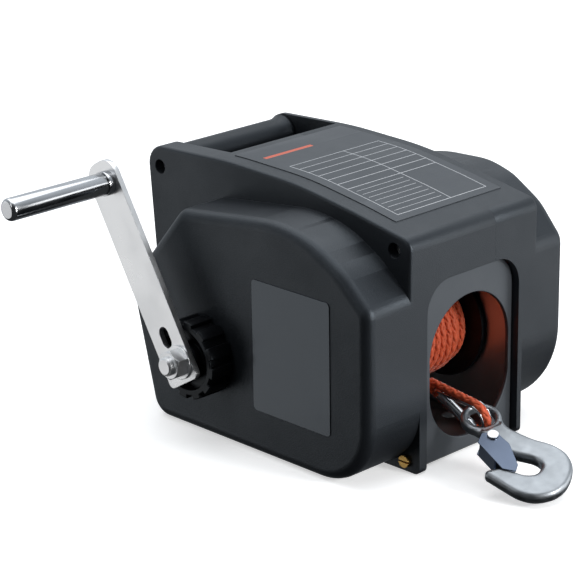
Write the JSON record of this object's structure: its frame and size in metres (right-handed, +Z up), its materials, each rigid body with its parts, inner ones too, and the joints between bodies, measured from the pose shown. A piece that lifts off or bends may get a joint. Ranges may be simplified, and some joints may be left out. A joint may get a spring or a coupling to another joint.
{
  "type": "boat trailer winch",
  "caption": "Portable electric boat trailer winch in a black housing, with a carrying handle, an emergency crank on a clutch knob, a rope drum and a latched hook.",
  "frame": {"origin": "middle of the four base bolt holes, on the underside of the base plate", "axes": "+X towards the motor side, so the crank is at -X; -Y the way the rope leaves; +Z up"},
  "size_m": [0.2971, 0.3395, 0.1818],
  "materials": {
    "housing": "fine-grained semi-gloss moulded plastic",
    "panel": "smooth satin moulded plastic",
    "label": "smooth glossy label film",
    "top_label": "satin label film",
    "handle": "semi-gloss plastic",
    "knob": "gloss",
    "zinc": "zinc plated",
    "frame_steel": "zinc plated sheet",
    "chrome": "polished",
    "hook_steel": "satin plated forging",
    "latch_steel": "zinc plated",
    "brass": "satin",
    "gear_steel": "machined, greased",
    "bronze": "sintered",
    "drum_steel": "black painted",
    "rope": "braided polyester",
    "motor_steel": "black painted",
    "magnet": "ferrite",
    "copper": "wound armature",
    "seal_rubber": "matte",
    "relay": "gloss"
  },
  "bodies": {
    "housing": {"left_shell": "housing", "right_shell": "housing", "fairlead_panel": "panel", "side_label": "label", "top_label": "top_label", "handle_bar": "handle", "handle_rod": "frame_steel", "shell_screws": "zinc", "side_screws": "brass", "base_plate": "frame_steel", "frame_plate_left": "frame_steel", "frame_plate_right": "frame_steel", "tie_rods": "frame_steel", "tie_bolts": "zinc", "gear_plate": "frame_steel", "gear_posts": "frame_steel", "gear_screws": "zinc", "drum_bushes": "bronze", "gear_bushes": "bronze", "shaft_seal": "seal_rubber", "motor_can": "motor_steel", "motor_magnets": "magnet", "motor_end_cap": "motor_steel", "control_relay": "relay", "power_gland": "seal_rubber", "remote_socket": "relay", "rope_tail": "rope", "rope_eye": "rope", "thimble": "chrome"},
    "drum": {"drum_spool": "drum_steel", "rope_pack": "rope", "drum_shaft": "gear_steel", "drum_clips": "gear_steel", "drum_gear": "gear_steel"},
    "crank": {"clutch_shaft": "zinc", "clutch_gear": "gear_steel", "clutch_pinion": "gear_steel", "crank_arm": "zinc", "crank_washer": "zinc", "crank_nut": "zinc", "grip_spindle": "chrome"},
    "knob": {"clutch_knob": "knob"},
    "grip": {"crank_grip": "chrome"},
    "middle": {"middle_shaft": "gear_steel", "middle_gear": "gear_steel", "middle_pinion": "gear_steel"},
    "rotor": {"motor_shaft": "gear_steel", "motor_armature": "copper", "motor_pinion": "gear_steel"},
    "hook": {"hook_body": "hook_steel", "latch_rivet": "zinc"},
    "latch": {"hook_latch": "latch_steel"}
  },
  "joints": [
    {"name": "drum_spin", "type": "hinge", "parent": "housing", "child": "drum", "pos_m": [0, -0.052, 0.067], "axis": [1, 0, 0], "continuous": true},
    {"name": "crank_spin", "type": "hinge", "parent": "housing", "child": "crank", "pos_m": [0, 0.02956, 0.0585], "axis": [1, 0, 0], "continuous": true},
    {"name": "middle_spin", "type": "hinge", "parent": "housing", "child": "middle", "pos_m": [0, 0.01263, 0.10501], "axis": [1, 0, 0], "continuous": true},
    {"name": "rotor_spin", "type": "hinge", "parent": "housing", "child": "rotor", "pos_m": [0, 0.04317, 0.11613], "axis": [1, 0, 0], "continuous": true},
    {"name": "knob_turn", "type": "hinge", "parent": "crank", "child": "knob", "pos_m": [-0.11, 0.02956, 0.0585], "axis": [1, 0, 0], "range_deg": [0, 120]},
    {"name": "grip_spin", "type": "hinge", "parent": "crank", "child": "grip", "pos_m": [-0.16, 0.09497, 0.16736], "axis": [1, 0, 0], "continuous": true},
    {"name": "hook_swing", "type": "hinge", "parent": "housing", "child": "hook", "pos_m": [-0.0154, -0.136, 0.0321], "axis": [-0.244, -0.268, 0.932], "range_deg": [-35, 35]},
    {"name": "latch_swing", "type": "hinge", "parent": "hook", "child": "latch", "pos_m": [-0.02413, -0.15322, 0.02486], "axis": [-0.244, -0.268, 0.932], "range_deg": [0, 30], "stiffness_Nm_per_rad": 0.02, "springref_deg": -17.19}
  ],
  "couplings": [
    {"joint": "crank_spin", "follows": "drum_spin", "ratio": -2.1538},
    {"joint": "middle_spin", "follows": "drum_spin", "ratio": 8},
    {"joint": "rotor_spin", "follows": "drum_spin", "ratio": -26.667}
  ]
}
